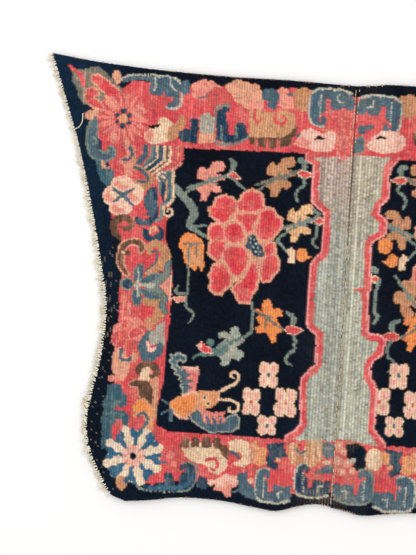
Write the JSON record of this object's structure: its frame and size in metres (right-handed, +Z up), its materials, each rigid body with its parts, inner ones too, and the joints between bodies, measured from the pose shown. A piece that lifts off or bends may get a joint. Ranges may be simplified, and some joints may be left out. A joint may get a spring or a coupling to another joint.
{
  "type": "saddle rug",
  "caption": "Knotted wool saddle rug with flared front corners, made of mirrored halves sewn along the spine, with a flowered navy field, a coral border and frayed cream warp ends.",
  "frame": {"origin": "on the floor under the middle of the rug's box", "axes": "+Y along the spine to the flared front edge, +X to the right, +Z up through the pile"},
  "size_m": [0.937, 0.6638, 0.0099],
  "materials": {
    "pile_left": "knotted wool pile",
    "pile_right": "knotted wool pile",
    "warp_left": "frayed cotton warp",
    "warp_right": "frayed cotton warp"
  },
  "bodies": {
    "root": {"half_left": "pile_left", "half_right": "pile_right", "fringe_left": "warp_left", "fringe_right": "warp_right"}
  },
  "joints": []
}
